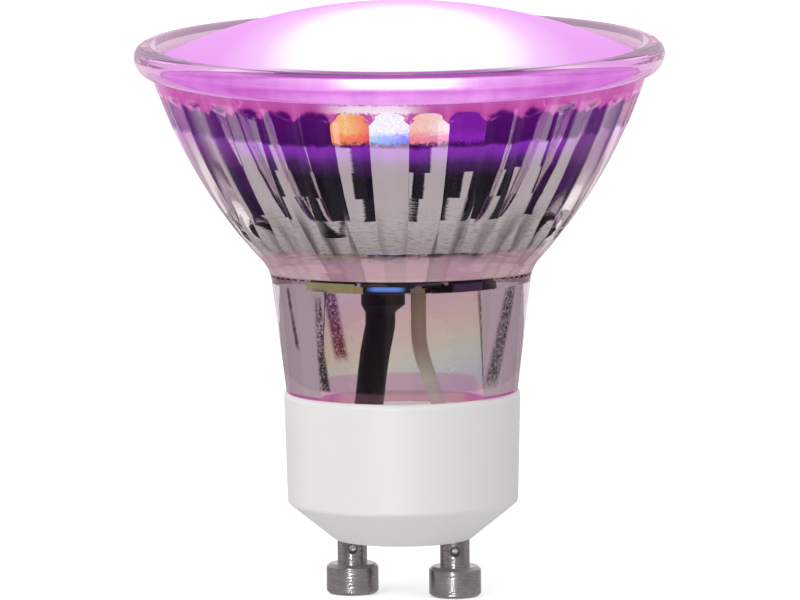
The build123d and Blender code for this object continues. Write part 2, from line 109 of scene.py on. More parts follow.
# Camera
VIEW_AZIMUTH = 15.0
VIEW_ELEVATION = 7.7
VIEW_ROLL = -0.5
VIEW_DISTANCE = 2.5
PIXELS_PER_MM = 10.62
IMAGE_WIDTH = 800
SENSOR_WIDTH = 36.0
AIM_Z = 22.56
AIM_RIGHT = 0.13

# Side of the lamp by which some of its colours are set
FRONT_AZIMUTH = 15.0

# Glass: how strongly it bends light, and how much of its reflections shows
GLASS_IOR = 1.5
RIB_IOR = 1.3
FIRST_REFLECTION = 0.45
TOTAL_REFLECTION = 0.97

# Streaks: their full core, where along them they start and end, and the grains they break into
STREAK_CORE = 0.4
STREAK_START = (-0.05, 0.12)
STREAK_END = (0.88, 1.05)
GRAIN_BELOW = 0.18
GRAIN_ABOVE = 0.12

# Height at which colour ramps over the lamp end
LAMP_TOP = 50.0

WHITE = (1.0, 1.0, 1.0)
BLACK = (0.0, 0.0, 0.0)


class Tree:
    """Short calls for building one node tree, of a material or of the world."""

    def __init__(self, owner, output="ShaderNodeOutputMaterial"):
        owner.use_nodes = True
        self.tree = owner.node_tree
        self.tree.nodes.clear()
        self.out = self.add(output)

    def add(self, kind, **settings):
        """New node with its settings."""
        node = self.tree.nodes.new(kind)
        for name, value in settings.items():
            setattr(node, name, value)
        return node

    def put(self, socket, value):
        """Link a socket to another one, or set its value."""
        if isinstance(value, bpy.types.NodeSocket):
            self.tree.links.new(value, socket)
        elif isinstance(value, (tuple, list)) and len(value) == 3 and len(socket.default_value) == 4:
            socket.default_value = (*value, 1.0)
        else:
            socket.default_value = value

    def math(self, operation, first, second=0.0):
        """Math node on one or two values."""
        node = self.add("ShaderNodeMath", operation=operation)
        for socket, value in zip(node.inputs, (first, second)):
            self.put(socket, value)
        return node.outputs[0]

    def product(self, first, *others):
        """Product of several values."""
        for other in others:
            first = self.math("MULTIPLY", first, other)
        return first

    def smooth(self, value, low, high):
        """Smooth step from 0 at low to 1 at high."""
        node = self.add("ShaderNodeMapRange", interpolation_type="SMOOTHSTEP")
        self.put(node.inputs["Value"], value)
        self.put(node.inputs["From Min"], low)
        self.put(node.inputs["From Max"], high)
        return node.outputs["Result"]

    def fall(self, value, low, high):
        """Smooth step from 1 at low to 0 at high."""
        return self.math("SUBTRACT", 1.0, self.smooth(value, low, high))

    def zone(self, value, rise, fall):
        """Smooth band: up over the rise, down over the fall."""
        return self.product(self.smooth(value, *rise), self.fall(value, *fall))

    def place(self):
        """Object coordinates in millimetres, together and as separate x, y and z."""
        coordinates = self.add("ShaderNodeTexCoord")
        scaled = self.add("ShaderNodeVectorMath", operation="SCALE")
        self.put(scaled.inputs[0], coordinates.outputs["Object"])
        scaled.inputs["Scale"].default_value = 1 / MM
        split = self.add("ShaderNodeSeparateXYZ")
        self.put(split.inputs[0], scaled.outputs[0])
        return scaled.outputs[0], split.outputs[0], split.outputs[1], split.outputs[2]

    def turned(self, x, y):
        """Coordinates across the lamp's front and back from it, both counted from the axis."""
        turn = math.radians(FRONT_AZIMUTH)
        x_across = self.math("MULTIPLY", x, math.cos(turn))
        y_across = self.math("MULTIPLY", y, math.sin(turn))
        x_along = self.math("MULTIPLY", x, math.sin(turn))
        y_along = self.math("MULTIPLY", y, math.cos(turn))
        return self.math("ADD", x_across, y_across), self.math("SUBTRACT", y_along, x_along)

    def bearing(self, x, y):
        """Angle round the lamp's axis in degrees."""
        return self.math("MULTIPLY", self.math("ARCTAN2", y, x), 180 / math.pi)

    def reach(self, x, y):
        """Length of a flat vector."""
        return self.math("SQRT", self.math("ADD", self.math("MULTIPLY", x, x), self.math("MULTIPLY", y, y)))

    def noise(self, vector, scale, detail=2.0, roughness=0.5):
        """Noise between 0 and 1."""
        node = self.add("ShaderNodeTexNoise")
        self.put(node.inputs["Vector"], vector)
        self.put(node.inputs["Scale"], scale)
        self.put(node.inputs["Detail"], detail)
        self.put(node.inputs["Roughness"], roughness)
        return node.outputs["Fac"]

    def sway(self, value, span):
        """Value from 0 to 1 as a shift to either side, over a span."""
        return self.math("MULTIPLY", self.math("SUBTRACT", value, 0.5), span)

    def stretch(self, vector, factors):
        """Vector with its parts scaled apart."""
        node = self.add("ShaderNodeVectorMath", operation="MULTIPLY")
        self.put(node.inputs[0], vector)
        node.inputs[1].default_value = factors
        return node.outputs[0]

    def ramp(self, value, stops):
        """Colour ramp over (position, colour) stops."""
        node = self.add("ShaderNodeValToRGB")
        elements = node.color_ramp.elements
        while len(elements) < len(stops):
            elements.new(1.0)
        for element, (position, color) in zip(elements, stops):
            element.position = position
            element.color = (*color, 1.0)
        self.put(node.inputs["Fac"], value)
        return node.outputs["Color"]

    def height_ramp(self, height, stops):
        """Colour ramp over (height in millimetres, colour) stops."""
        share = self.math("DIVIDE", height, LAMP_TOP)
        return self.ramp(share, [(stop / LAMP_TOP, color) for stop, color in stops])

    def mix(self, factor, first, second, blend="MIX"):
        """Colour between two colours."""
        node = self.add("ShaderNodeMix", data_type="RGBA", blend_type=blend)
        self.put(node.inputs["Factor"], factor)
        self.put(node.inputs[6], first)
        self.put(node.inputs[7], second)
        return node.outputs[2]

    def bump(self, height, distance):
        """Normal bent by a height, with its depth in millimetres."""
        node = self.add("ShaderNodeBump")
        self.put(node.inputs["Height"], height)
        node.inputs["Distance"].default_value = distance * MM
        node.inputs["Strength"].default_value = 1.0
        return node.outputs["Normal"]

    def shader(self, kind, **values):
        """Shader node with its values, an underscore standing for a space."""
        node = self.add(kind)
        for name, value in values.items():
            self.put(node.inputs[name.replace("_", " ")], value)
        return node

    def principled(self, **values):
        """Principled shader with its values."""
        return self.shader("ShaderNodeBsdfPrincipled", **values)

    def emission(self, color, strength=1.0):
        """Light of its own."""
        return self.shader("ShaderNodeEmission", Color=color, Strength=strength)

    def add_shaders(self, first, second):
        """Sum of two shaders."""
        node = self.add("ShaderNodeAddShader")
        self.tree.links.new(first.outputs[0], node.inputs[0])
        self.tree.links.new(second.outputs[0], node.inputs[1])
        return node

    def mix_shaders(self, factor, first, second):
        """Shader between two shaders."""
        node = self.add("ShaderNodeMixShader")
        self.put(node.inputs[0], factor)
        self.tree.links.new(first.outputs[0], node.inputs[1])
        self.tree.links.new(second.outputs[0], node.inputs[2])
        return node

    def shown(self):
        """1 for rays that see a thing, in mirrors and glass too, and 0 for those that carry its light."""
        path = self.add("ShaderNodeLightPath")
        bent = self.math("MAXIMUM", path.outputs["Is Glossy Ray"], path.outputs["Is Transmission Ray"])
        return self.math("MAXIMUM", path.outputs["Is Camera Ray"], bent)

    def glass(self, tint, normal, glow, gloss=WHITE, ior=GLASS_IOR):
        """Clear glass with a soft first reflection and full reflection from within, plus a glow of painted
        light.
        """
        edge = self.add("ShaderNodeFresnel")
        edge.inputs["IOR"].default_value = ior
        self.put(edge.inputs["Normal"], normal)
        soft = self.math("MULTIPLY", edge.outputs[0], FIRST_REFLECTION)
        total = self.math("GREATER_THAN", edge.outputs[0], TOTAL_REFLECTION)
        through = self.shader("ShaderNodeBsdfRefraction", Color=tint, Roughness=0.0, IOR=ior, Normal=normal)
        back = self.shader("ShaderNodeBsdfGlossy", Color=gloss, Roughness=0.0, Normal=normal)
        both = self.mix_shaders(self.math("MAXIMUM", soft, total), through, back)
        return self.add_shaders(both, self.emission(glow))

    def streak(self, angle, height, low, high, half, mottle, cutoff):
        """Mottled streak on a wall, from one (angle, height) to another, with its half width in degrees."""
        run = self.math("DIVIDE", self.math("SUBTRACT", height, low[1]), high[1] - low[1])
        middle = self.math("ADD", low[0], self.math("MULTIPLY", run, high[0] - low[0]))
        off = self.math("ABSOLUTE", self.math("SUBTRACT", angle, middle))
        inside = self.fall(off, STREAK_CORE * half, half)
        ends = self.zone(run, STREAK_START, STREAK_END)
        grains = self.smooth(mottle, cutoff - GRAIN_BELOW, cutoff + GRAIN_ABOVE)
        return self.product(inside, ends, grains)

    def finish(self, node):
        """Make a shader the tree's result."""
        self.tree.links.new(node.outputs[0], self.out.inputs["Surface"])


def new_material(name):
    """New material and its tree."""
    material = bpy.data.materials.new(name)
    return material, Tree(material)


def dress(node_name, material):
    """Give a carried-over CAD node a material."""
    node = nodes[node_name]
    node.data.materials.clear()
    node.data.materials.append(material)


# Glass mesh
def bowl_outside(height):
    """Radius of the plain bowl at a height."""
    return BOWL_X + math.sqrt(BOWL_RADIUS**2 - (height - BOWL_Z) ** 2)


def ease(share):
    """Smooth step from 0 to 1."""
    share = min(max(share, 0.0), 1.0)
    return share * share * (3 - 2 * share)


def rib_drop(height, offset):
    """Depth below a rib's crest at an angle off the rib's middle: an arc from groove to groove."""
    crest = bowl_outside(height)
    groove = crest * (1 - RIB_SHARE)
    side = groove * math.sin(RIB_HALF)
    drop = crest - groove * math.cos(RIB_HALF)
    curve = (side**2 + drop**2) / (2 * drop)
    center = crest - curve
    return crest - center * math.cos(offset) - math.sqrt(curve**2 - (center * math.sin(offset)) ** 2)


def rib_tip(offset):
    """Height of a rib's rounded tip at an angle off the rib's middle."""
    return RIB_TOP - RIB_TIP_DROP * (offset / RIB_HALF) ** 2


def rib_radius(height, offset):
    """Radius of the ribbed bowl; the ribs end in round tips above and fade out below."""
    at_tip = ease((rib_tip(offset) - height) / RIB_TOP_RUN)
    at_foot = ease((height - RIB_FOOT) / RIB_FOOT_RUN)
    return bowl_outside(height) - rib_drop(height, offset) * at_tip * at_foot


def solve(function, low, high):
    """Value between low and high at which a function changes sign."""
    low_negative = function(low) < 0
    for _ in range(SOLVE_STEPS):
        middle = (low + high) / 2
        if (function(middle) < 0) == low_negative:
            low = middle
        else:
            high = middle
    return (low + high) / 2


def arc(center, radius, start, end, steps):
    """Points on a circle, from one angle to another."""
    return [
        (
            center[0] + radius * math.cos(start + (end - start) * step / steps),
            center[1] + radius * math.sin(start + (end - start) * step / steps),
        )
        for step in range(steps + 1)
    ]


def spread(low, high, count):
    """Even steps from low up to just below high."""
    return [low + (high - low) * step / count for step in range(count)]


# Fillet between the neck and the bowl
neck_foot = Vector((NECK_FOOT_RADIUS, CAP_HEIGHT))
neck_way = Vector((NECK_TOP_RADIUS - NECK_FOOT_RADIUS, NECK_HEIGHT)).normalized()
neck_out = Vector((neck_way.y, -neck_way.x))
bowl_center = Vector((BOWL_X, BOWL_Z))
neck_line = neck_foot + neck_out * NECK_ROUND


def fillet_gap(along):
    """Gap between the bowl and a fillet circle that touches the neck at a distance along it."""
    return (neck_line + neck_way * along - bowl_center).length - BOWL_RADIUS - NECK_ROUND


fillet_along = solve(fillet_gap, 0, NECK_HEIGHT)
fillet_center = neck_line + neck_way * fillet_along
fillet_start = math.atan2(-neck_out.y, -neck_out.x)
fillet_way = bowl_center - fillet_center
fillet_end = math.atan2(fillet_way.y, fillet_way.x)
if fillet_start < fillet_end:
    fillet_start += 2 * math.pi
BOWL_FOOT = BOWL_Z + BOWL_RADIUS * math.sin(math.atan2(-fillet_way.y, -fillet_way.x))


def ribbed_meridian(offset):
    """Bowl points from the neck fillet up to the rim, close together at the rib's tip."""
    tip = rib_tip(offset)
    heights = spread(BOWL_FOOT, RIB_FOOT, PLAIN_STEPS)
    heights += spread(RIB_FOOT, tip - RIB_TOP_RUN, RIB_STEPS)
    heights += spread(tip - RIB_TOP_RUN, tip, TIP_STEPS)
    heights += spread(tip, CUP_TOP, PLAIN_STEPS)
    return [(rib_radius(height, offset), height) for height in heights]


COLUMNS = [
    math.radians(RIB_PHASE + RIB_PITCH * rib + offset) for rib in range(RIB_COUNT) for offset in RIB_OFFSETS
]
meridians = {abs(offset): ribbed_meridian(math.radians(abs(offset))) for offset in RIB_OFFSETS}
meridian_of_column = [meridians[abs(offset)] for _ in range(RIB_COUNT) for offset in RIB_OFFSETS]
BOWL_ROWS = len(meridian_of_column[0])

inner_radius = BOWL_RADIUS - GLASS_WALL
facet_heights = [FACET_FOOT, *(NECK_TOP + share * CUP_HEIGHT for share in FACET_SHARES), LENS_SEAT]
facet_corners = [
    (BOWL_X + math.sqrt(inner_radius**2 - (height - BOWL_Z) ** 2), height) for height in facet_heights
]

RIM_INNER_RADIUS = facet_corners[-1][0] + LENS_LEDGE
bead_rise = RIM_SIDE - CUP_TOP
bead_radius = (bead_rise**2 + RIM_OVERHANG**2) / (2 * RIM_OVERHANG)
bead_center = (RIM_RADIUS - bead_radius, RIM_SIDE)
bead_start = math.atan2(CUP_TOP - RIM_SIDE, CUP_MOUTH_RADIUS - bead_center[0])
rim_round_center = (RIM_RADIUS - RIM_TOP_ROUND, RIM_SIDE)
inner_round_center = (RIM_INNER_RADIUS + RIM_INNER_ROUND, RIM_TOP - RIM_INNER_ROUND)

PLAIN, CREASE = False, True
GLASS, COAT, BOND, FILM, RIBS = range(5)


def ring(point, sharp=PLAIN, surface=GLASS):
    """Ring of the lathed glass: its points, whether it is a crease, and the surface above it."""
    return ([point] * len(COLUMNS), sharp, surface)


rings = [
    ring((NECK_BORE_RADIUS, CAP_HEIGHT - SPIGOT_DEPTH), CREASE, BOND),
    ring((SPIGOT_RADIUS, CAP_HEIGHT - SPIGOT_DEPTH), CREASE, BOND),
    ring((SPIGOT_RADIUS, CAP_HEIGHT), CREASE, BOND),
    ring((NECK_FOOT_RADIUS, CAP_HEIGHT), CREASE),
]
neck_end = neck_foot + neck_way * fillet_along
rings += [ring(tuple(neck_foot.lerp(neck_end, share))) for share in NECK_SHARES]
fillet = arc(fillet_center, NECK_ROUND, fillet_start, fillet_end, FILLET_STEPS)
rings += [ring(point) for point in fillet[:-1]]
rings += [([meridian[row] for meridian in meridian_of_column], PLAIN, RIBS) for row in range(BOWL_ROWS)]
rings.append(ring((CUP_MOUTH_RADIUS, CUP_TOP), CREASE))
bead = arc(bead_center, bead_radius, bead_start, 0, BEAD_STEPS)
rim_round = arc(rim_round_center, RIM_TOP_ROUND, 0, math.pi / 2, ROUND_STEPS)
inner_round = arc(inner_round_center, RIM_INNER_ROUND, math.pi / 2, math.pi, ROUND_STEPS)
rings += [ring(point) for point in bead[1:-1] + rim_round + inner_round]
rings.append(ring((RIM_INNER_RADIUS, LENS_SEAT), CREASE))
rings += [ring(corner, CREASE, COAT) for corner in reversed(facet_corners)]
rings += [
    ring((POCKET_RADIUS, FACET_FOOT), CREASE, FILM),
    ring((POCKET_RADIUS, BOARD_FOOT), CREASE, FILM),
    ring((NECK_BORE_RADIUS, BOARD_FOOT), CREASE, FILM),
    ring((NECK_BORE_RADIUS, CAP_HEIGHT), PLAIN, FILM),
]


def lathe(name, rings):
    """Closed mesh through the rings, each joined to the next and the last to the first."""
    count = len(COLUMNS)
    vertices = [
        (radius * math.cos(angle) * MM, radius * math.sin(angle) * MM, height * MM)
        for points, _, _ in rings
        for (radius, height), angle in zip(points, COLUMNS)
    ]
    faces = []
    surfaces = []
    for row, (_, _, surface) in enumerate(rings):
        start = row * count
        above = (row + 1) % len(rings) * count
        for column in range(count):
            beside = (column + 1) % count
            faces.append((start + column, start + beside, above + beside, above + column))
            surfaces.append(surface)
    mesh = bpy.data.meshes.new(name)
    mesh.from_pydata(vertices, [], faces)
    mesh.polygons.foreach_set("material_index", surfaces)
    mesh.polygons.foreach_set("use_smooth", [True] * len(faces))
    creased = {row for row, (_, sharp, _) in enumerate(rings) if sharp}
    for edge in mesh.edges:
        first, second = edge.vertices
        if first // count == second // count and first // count in creased:
            edge.use_edge_sharp = True
    mesh.validate()
    mesh.update()
    piece = bpy.data.objects.new(name, mesh)
    scene.collection.objects.link(piece)
    return piece


glass = lathe("ribbed_glass", rings)
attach(glass, "root")
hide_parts("glass_cup")


# Glass materials
def clear_glass(name, ior):
    """Pressed glass, faintly pink, with a violet tint and glow of painted light round the lens, a painted
    dark line on the front lip, and milky rim sides and back that glow with painted light; with how strongly
    it bends light.
    """
    material, tree = new_material(name)
    point, px, py, pz = tree.place()
    _, along = tree.turned(px, py)
    waves = tree.noise(point, 0.35)
    # Pink tint that turns violet in the band round the lens, where it stands partly for painted light from
    # the lens
    tint = tree.height_ramp(
        pz,
        [
            (14.0, (0.87, 0.81, 0.84)),
            (25.0, (0.87, 0.80, 0.84)),
            (30.0, (0.905, 0.87, 0.885)),
            (39.0, (0.905, 0.86, 0.885)),
            (43.0, (0.90, 0.81, 0.87)),
            (44.5, (0.79, 0.58, 0.77)),
            (46.0, (0.79, 0.58, 0.77)),
            (46.4, (0.82, 0.74, 0.80)),
        ],
    )
    # Painted shade: a dark violet line along the front of the lip
    front_lip_shade = tree.product(tree.fall(along, -22.5, -18.0), tree.smooth(pz, 46.5, 46.75))
    tint = tree.mix(front_lip_shade, tint, (0.40, 0.13, 0.40))
    # Painted violet glow in the glass round the lens
    glow = tree.height_ramp(pz, [(44.0, BLACK), (44.6, (0.045, 0.012, 0.045))])
    # Sides and back of the rim: milky, and glowing with painted violet light
    milky_glow = tree.product(tree.smooth(along, -19.0, -14.0), tree.smooth(pz, 44.6, 45.2))
    far_share = tree.smooth(along, -14.0, -4.0)
    tint = tree.mix(milky_glow, tint, tree.mix(far_share, (0.72, 0.48, 0.72), (0.66, 0.56, 0.64)))
    glow = tree.mix(milky_glow, glow, tree.mix(far_share, (0.12, 0.05, 0.12), (0.10, 0.055, 0.085)))
    tree.finish(tree.glass(tint, tree.bump(waves, 0.012), glow, ior=ior))
    return material


# The glints are painted light on the coat
# Glints of the diodes in the top row of facets: four ribs, repeated every third of a turn,
# with the colours high and low in the row at places counted in ribs
GLINT_START = -92.7
GLINT_TURN = 120.0
GLINT_RIBS = 4.0
GLINT_RIB = RIB_PITCH / GLINT_TURN
HIGH_GLINTS = (
    (0.0, (1.0, 0.42, 0.14)),
    (0.35, (1.0, 0.74, 0.30)),
    (0.65, (1.0, 0.46, 0.17)),
    (1.0, (0.90, 0.20, 0.15)),
    (1.05, (0.95, 1.0, 1.0)),
    (2.0, (0.95, 1.0, 1.0)),
    (2.1, (1.0, 0.70, 0.55)),
    (2.5, (1.0, 0.74, 0.62)),
    (3.0, (1.0, 0.97, 0.92)),
    (3.05, (0.20, 0.012, 0.34)),
)
LOW_GLINTS = (
    (0.0, (1.0, 0.35, 0.10)),
    (0.95, (0.85, 0.10, 0.12)),
    (1.05, (0.25, 0.55, 0.85)),
    (1.6, (0.10, 0.25, 0.95)),
    (1.98, (0.06, 0.04, 0.90)),
    (2.05, (0.95, 0.30, 0.30)),
    (3.0, (0.85, 0.25, 0.45)),
    (3.05, (0.26, 0.02, 0.50)),
)
# Painted white glare above the glints in front
GLARE_MIDDLE = GLINT_START + 1.1 * RIB_PITCH
GLARE_FULL = 0.5 * RIB_PITCH
GLARE_END = 1.6 * RIB_PITCH
GLINT_SPECKLE = 1.6
GLARE_SPECKLE = 0.9
GRAIN_DIMMING = 0.36

# Heights on the coat: its foot, its lowest mirrored row, the band of painted violet light and the top row
COAT_FOOT = 28.2
LOW_ROW = 29.1
BAND_FOOT = 36.6
BAND_FULL = 38.0
BAND_TOP = 39.7
TOP_ROW = 39.9
TOP_ROW_END = 43.15

# Round tops and wave of the coat's rows of painted light, how far its ribs differ, its dark blotches, and
# its roughness
ARCH_POWER = 3.5
ARCH_DROP = 0.9
ROW_WAVE = 1.0
DRAW_STEP = 12.9
DRAW_GAIN = 43.7
FOOT_DARKENING = 0.45
RIB_DARKENING = 0.85
COAT_BLOTCHING = 0.42
BAND_FADING = 0.75
COAT_ROUGHNESS = 0.03
SIDE_ROUGHNESS = 0.16

# Drift of the bore film's rainbow, and the rise of its pink foot of painted light on the far side
DRIFT_START = 1.64
DRIFT_ACROSS = 0.02
DRIFT_FALL = 0.078
DRIFT_CLOUD = 0.25
FAR_FOOT_RISE = 1.05


def add_glints(tree, point, bearing, height, arch_z, glow):
    """Painted glow of the coat with the diodes' painted glints, and a painted white glare above those in
    front.
    """
    around = tree.math("FRACT", tree.math("DIVIDE", tree.math("SUBTRACT", bearing, GLINT_START), GLINT_TURN))
    high_glint = tree.ramp(around, [(place * GLINT_RIB, color) for place, color in HIGH_GLINTS])
    low_glint = tree.ramp(around, [(place * GLINT_RIB, color) for place, color in LOW_GLINTS])
    speckle = tree.noise(point, 3.0, 4.0, 0.7)
    rough_z = tree.math("ADD", arch_z, tree.sway(speckle, GLINT_SPECKLE))
    glint = tree.mix(tree.smooth(rough_z, 40.6, 41.6), low_glint, high_glint)
    dim_grain = tree.fall(tree.noise(point, 5.0, 3.0, 0.7), 0.38, 0.62)
    glint = tree.mix(tree.math("MULTIPLY", dim_grain, GRAIN_DIMMING), glint, low_glint)
    in_ribs = tree.math("LESS_THAN", around, GLINT_RIBS * GLINT_RIB)
    below_end = tree.math("LESS_THAN", arch_z, TOP_ROW_END)
    in_row = tree.product(tree.smooth(rough_z, TOP_ROW, 40.5), below_end)
    glow = tree.mix(tree.product(in_ribs, in_row), glow, glint)
    glare_off = tree.math("ABSOLUTE", tree.math("SUBTRACT", bearing, GLARE_MIDDLE))
    glare_reach = tree.fall(glare_off, GLARE_FULL, GLARE_END)
    glare_z = tree.math("ADD", height, tree.sway(speckle, GLARE_SPECKLE))
    # Painted highlight: white glare in a band above the front glints
    white_glare = tree.product(glare_reach, tree.zone(glare_z, (43.0, 43.25), (43.75, 44.1)))
    return tree.mix(white_glare, glow, (1.0, 0.96, 1.0))


def coat_mirror(tree, point, height, off_rib, rib_draw):
    """Mirror colour of the coat, with dark blotches in its low rows and painted shade between their ribs."""
    mirror = tree.height_ramp(
        height,
        [
            (COAT_FOOT, (0.22, 0.20, 0.20)),
            (LOW_ROW, (0.70, 0.66, 0.65)),
            (31.6, (0.92, 0.88, 0.87)),
            (32.2, (0.95, 0.90, 0.89)),
            (BAND_TOP, (0.92, 0.86, 0.86)),
            (TOP_ROW, (0.50, 0.45, 0.50)),
            (43.1, (0.50, 0.45, 0.50)),
            (43.4, (0.10, 0.08, 0.10)),
        ],
    )
    low_rows = tree.fall(height, 31.0, 34.5)
    # Dark blotches at random in the low rows
    blotch_noise = tree.noise(tree.stretch(point, (1.3, 1.3, 6.0)), 1.1, 4.0, 0.75)
    blotches = tree.product(tree.smooth(blotch_noise, 0.48, 0.66), low_rows, COAT_BLOTCHING)
    mirror = tree.mix(blotches, mirror, (0.16, 0.14, 0.14))
    # Painted shade between the ribs in the low rows
    rib_shade = tree.product(tree.smooth(off_rib, 0.35, 0.85), low_rows, rib_draw, RIB_DARKENING)
    return tree.mix(rib_shade, mirror, (0.08, 0.07, 0.07))


def facet_coat():
    """Reflecting coat on the facets inside the bowl, with painted light for the diodes' light through it,
    duller at both sides.
    """
    material, tree = new_material("facet_coat")
    point, px, py, pz = tree.place()
    across, _ = tree.turned(px, py)
    bearing = tree.bearing(px, py)
    ribs = tree.math("DIVIDE", tree.math("SUBTRACT", bearing, GLINT_START), RIB_PITCH)
    off_rib = tree.math("ABSOLUTE", tree.sway(tree.math("FRACT", ribs), 2.0))
    side_share = tree.smooth(tree.math("ABSOLUTE", across), 13.0, 17.0)

    # The rows of painted light have round tops in each rib and a slight wave
    arch = tree.product(tree.math("POWER", off_rib, ARCH_POWER), tree.smooth(pz, 41.2, 42.4), ARCH_DROP)
    arch_z = tree.math("ADD", pz, arch)
    row_cloud = tree.noise(tree.stretch(point, (1.0, 1.0, 0.3)), 0.8)
    # Painted light up the coat: pink-beige at its foot, a violet band, a dark violet top row and pink above
    # it
    glow = tree.height_ramp(
        tree.math("ADD", arch_z, tree.sway(row_cloud, ROW_WAVE)),
        [
            (26.0, (0.49, 0.34, 0.385)),
            (COAT_FOOT, (0.47, 0.325, 0.37)),
            (LOW_ROW, (0.010, 0.008, 0.009)),
            (BAND_FOOT, (0.003, 0.001, 0.005)),
            (BAND_FULL, (0.045, 0.012, 0.080)),
            (39.0, (0.19, 0.024, 0.37)),
            (BAND_TOP, (0.24, 0.026, 0.45)),
            (TOP_ROW, (0.045, 0.002, 0.085)),
            (42.9, (0.085, 0.003, 0.14)),
            (43.2, (0.56, 0.085, 0.38)),
            (44.6, (0.66, 0.19, 0.56)),
        ],
    )

    # The painted violet light of the band fades towards both sides
    band = tree.zone(pz, (BAND_FOOT, BAND_FULL), (BAND_TOP, TOP_ROW))
    faded = tree.product(band, side_share, BAND_FADING)
    glow = tree.mix(faded, glow, (0.08, 0.024, 0.075))

    # The painted light on each rib's foot is a little lighter or darker than its neighbours
    rib_wave = tree.math("SINE", tree.math("MULTIPLY", tree.math("FLOOR", ribs), DRAW_STEP))
    rib_draw = tree.math("FRACT", tree.math("MULTIPLY", rib_wave, DRAW_GAIN))
    foot_dark = tree.product(tree.fall(pz, 28.4, 29.0), rib_draw, FOOT_DARKENING)
    glow = tree.mix(foot_dark, glow, (0.05, 0.035, 0.035))

    glow = add_glints(tree, point, bearing, pz, arch_z, glow)
    mirror = coat_mirror(tree, point, pz, off_rib, rib_draw)
    grain = tree.noise(tree.stretch(point, (0.7, 0.7, 5.0)), 1.6, 3.0)
    dullness = tree.math("ADD", COAT_ROUGHNESS, tree.math("MULTIPLY", side_share, SIDE_ROUGHNESS))
    normal = tree.bump(grain, 0.0025)
    reflect = tree.shader("ShaderNodeBsdfGlossy", Color=mirror, Roughness=dullness, Normal=normal)
    tree.finish(tree.add_shaders(reflect, tree.emission(glow)))
    return material


def bonded_foot():
    """Cemented foot of the glass, glowing with painted pink light for what comes down the wall."""
    material, tree = new_material("bonded_foot")
    point, px, py, _ = tree.place()
    across, _ = tree.turned(px, py)
    # Painted light: salmon across the middle, violet at the sides
    salmon = tree.mix(tree.noise(point, 0.5, 3.0), (0.58, 0.56, 0.48), (0.70, 0.68, 0.58))
    side_share = tree.smooth(tree.math("ABSOLUTE", across), 6.5, 8.5)
    bonded = tree.principled(
        Base_Color=(0.40, 0.30, 0.31),
        Roughness=0.6,
        Emission_Color=tree.mix(side_share, salmon, (0.60, 0.22, 0.54)),
        Emission_Strength=0.9,
    )
    tree.finish(bonded)
    return material


def bore_film():
    """Thin film of the coat in the bore, half clear, with faint rainbow colours, painted dark reflections in
    streaks, a red streak and a pink foot of painted light.
    """
    material, tree = new_material("bore_film")
    point, px, py, pz = tree.place()
    across, along = tree.turned(px, py)
    bearing = tree.bearing(px, py)
    far_share = tree.smooth(along, -3.0, 3.0)
    fading = tree.math("SUBTRACT", DRIFT_START, tree.math("MULTIPLY", pz, DRIFT_FALL))
    drift = tree.math("ADD", tree.math("MULTIPLY", across, DRIFT_ACROSS), fading)
    drift = tree.math("ADD", drift, tree.math("MULTIPLY", tree.noise(point, 0.12, 1.0), DRIFT_CLOUD))
    rainbow = tree.ramp(
        tree.math("FRACT", drift),
        [
            (0.0, (0.80, 0.70, 0.69)),
            (0.25, (0.80, 0.76, 0.67)),
            (0.45, (0.75, 0.81, 0.74)),
            (0.65, (0.72, 0.74, 0.80)),
            (0.85, (0.79, 0.69, 0.73)),
            (1.0, (0.80, 0.70, 0.69)),
        ],
    )
    mottle = tree.noise(point, 3.5, 4.0, 0.7)
    # Painted dark reflections in streaks, and a red streak
    dark = 0.0
    for low, high, half, cutoff in (
        ((-157.0, 18.5), (-170.0, 25.0), 3.4, 0.44),
        ((-131.0, 14.5), (-133.0, 24.0), 4.5, 0.50),
        ((-128.0, 14.6), (-132.0, 18.5), 5.0, 0.40),
        ((-10.0, 15.0), (14.0, 25.0), 10.0, 0.47),
    ):
        dark = tree.math("MAXIMUM", dark, tree.streak(bearing, pz, low, high, half, mottle, cutoff))
    red_line = tree.streak(bearing, pz, (-115.0, 18.0), (-124.0, 25.0), 7.0, mottle, 0.42)
    red_shade = tree.mix(tree.smooth(pz, 19.0, 24.0), (0.22, 0.05, 0.07), (0.16, 0.05, 0.15))
    wall = tree.mix(red_line, rainbow, red_shade)
    wall = tree.mix(dark, wall, (0.06, 0.05, 0.06))
    thrown = tree.mix(dark, (0.47, 0.41, 0.43), (0.07, 0.06, 0.07))
    # Pink foot of painted light, higher on the far side
    foot_z = tree.math("SUBTRACT", pz, tree.math("MULTIPLY", far_share, FAR_FOOT_RISE))
    foot_share = tree.fall(foot_z, 14.75, 15.05)
    wall = tree.mix(foot_share, wall, tree.mix(far_share, (0.86, 0.79, 0.82), (0.64, 0.47, 0.57)))
    glow = tree.mix(foot_share, BLACK, (0.07, 0.035, 0.05))
    tree.finish(tree.glass(wall, tree.bump(mottle, 0.0002), glow, thrown))
    return material


for material in (
    clear_glass("pressed_glass", GLASS_IOR),
    facet_coat(),
    bonded_foot(),
    bore_film(),
    clear_glass("ribbed_glass", RIB_IOR),
):
    glass.data.materials.append(material)

# White spot on the lens, in millimetres, and the lens's side
SPOT_HALF_WIDTH = 10.5
SPOT_FRONT = 15.0
SPOT_DEPTH = 12.5
SPOT_SPAN = 2.5
LENS_FOOT = 44.7
LENS_SIDE = 1.2

# How dark the metal gets at random, and the stretch over which the lead changes colour
RANDOM_DARKENING = 0.6
LEAD_FOOT = 13.0
LEAD_LENGTH = 13.0


